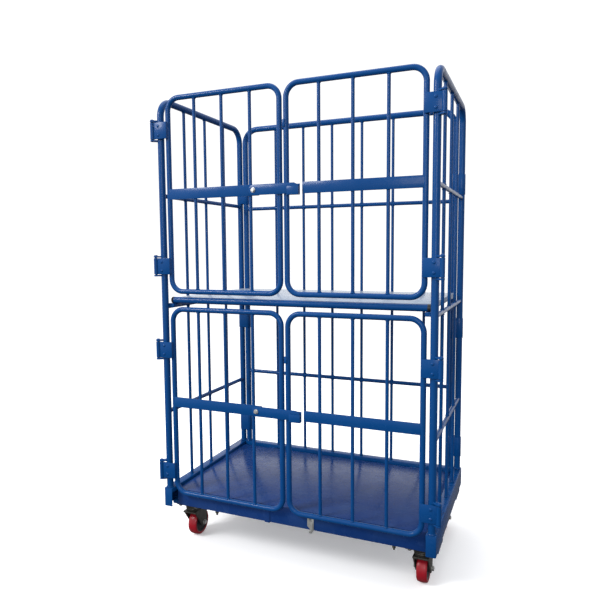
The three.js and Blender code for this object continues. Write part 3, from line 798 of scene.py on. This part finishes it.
for side_name, side in SIDES:
    front, rear = f"front_{side_name}_castor", f"rear_{side_name}_castor"
    wheel(f"{front}_wheel", f"{front}_wheel")
    wheel(f"{rear}_wheel", f"{rear}_wheel")
    axle(f"{front}_axle", front)
    axle(f"{rear}_axle", "cage")
    eased_copy(f"{front}_fork", front, "dark_zinc", 1.0 * MM)
    eased_copy(f"{rear}_fork", "cage", "dark_zinc", 1.0 * MM)
    eased_copy(f"{front}_plate", "cage", "dark_zinc", 0.8 * MM)
    eased_copy(f"{front}_brake", f"{front}_pedal", "zinc", 1.0 * MM)
    top_plate_bolts(front, f"{front}_plate")
    top_plate_bolts(rear, f"{rear}_fork")

# ---- floor, lights and camera ---------------------------------------------------------


def plain(name, color, roughness):
    """An even floor finish that glows a little, so that it meets the sky without an edge."""
    finish = Finish(name, color, roughness)
    shade = finish.curve(finish.noise(3.0), 0.3, 0.7, 0.0, 1.0)
    finish.feed("Base Color", finish.color_mix(shade, color, scaled(color, 0.98)))
    finish.shader.inputs["Emission Color"].default_value = (1, 1, 1, 1)
    finish.shader.inputs["Emission Strength"].default_value = 0.2
    return finish.material


def studio_floor():
    """A wide pale floor that the cage's shadow falls on."""
    bpy.ops.mesh.primitive_plane_add(size=60, location=(0, 0, 0))
    floor = bpy.context.object
    floor.name = "studio_floor"
    floor.data.materials.append(plain("pale_floor", (0.96, 0.96, 0.97), 0.8))
    # no white floor in the gloss of the low faces: they take the dim lower half of the sky
    floor.visible_glossy = False
    floor.visible_diffuse = False


def sky():
    """White on the left and behind, dimmer towards the right and the front, and dim below."""
    world = bpy.data.worlds.new("studio")
    bpy.context.scene.world = world
    world.use_nodes = True
    tree = world.node_tree
    nodes, links = tree.nodes, tree.links
    background = nodes["Background"]
    place = nodes.new("ShaderNodeTexCoord").outputs["Generated"]
    toward = nodes.new("ShaderNodeVectorMath")
    toward.operation = "DOT_PRODUCT"
    toward.inputs[1].default_value = (-0.85, 0.5, 0.16)
    links.new(place, toward.inputs[0])
    ramp = nodes.new("ShaderNodeMix")
    ramp.data_type = "RGBA"
    ramp.inputs["A"].default_value = (0.6, 0.62, 0.66, 1)
    ramp.inputs["B"].default_value = (1, 1, 1, 1)
    factor = spread(tree, toward.outputs["Value"], -0.75, 0.35, 0.0, 1.0)
    links.new(factor, ramp.inputs["Factor"])
    links.new(ramp.outputs["Result"], background.inputs["Color"])
    height = nodes.new("ShaderNodeSeparateXYZ")
    links.new(place, height.inputs["Vector"])
    strength = spread(tree, height.outputs["Z"], -0.3, -0.06, 0.2, 1.12)
    links.new(strength, background.inputs["Strength"])


def lights():
    """Three soft area lights, as name, place, size and power, aimed at the cage's middle."""
    for name, place, size, power in (
        ("key", (-2.8, -3.2, 3.4), 1.4, 165),
        ("front", (1.4, -5.0, 2.2), 2.0, 75),
        ("top", (-0.4, 0.2, 4.4), 3.0, 60),
    ):
        data = bpy.data.lights.new(name, "AREA")
        data.size = size
        data.energy = power
        lamp = bpy.data.objects.new(name, data)
        lamp.location = place
        aim = Vector((0, 0, 0.8)) - lamp.location
        lamp.rotation_euler = aim.to_track_quat("-Z", "Y").to_euler()
        bpy.context.scene.collection.objects.link(lamp)


def camera():
    """An eye 1.14 m up and 1.78 m in front, right of the middle, turned left and slightly down."""
    eye = Vector((0.794, FRONT - 1.782, 1.138))
    azimuth, down, roll = (math.radians(a) for a in (22.7, 4.95, -0.4))
    level = Vector((-math.sin(azimuth), math.cos(azimuth), 0))
    focus = level * math.cos(down) - Z * math.sin(down)
    right = Vector((math.cos(azimuth), math.sin(azimuth), 0))
    up = right.cross(focus)
    right = right * math.cos(roll) + up * math.sin(roll)
    up = right.cross(focus)
    turn = Matrix((right, up, -focus)).transposed()
    data = bpy.data.cameras.new("camera")
    data.sensor_width = 36
    data.lens = 34.35
    obj = bpy.data.objects.new("camera", data)
    obj.matrix_world = Matrix.Translation(eye) @ turn.to_4x4()
    bpy.context.scene.collection.objects.link(obj)
    bpy.context.scene.camera = obj


studio_floor()
sky()
lights()
camera()
bpy.context.scene.view_settings.view_transform = "Standard"
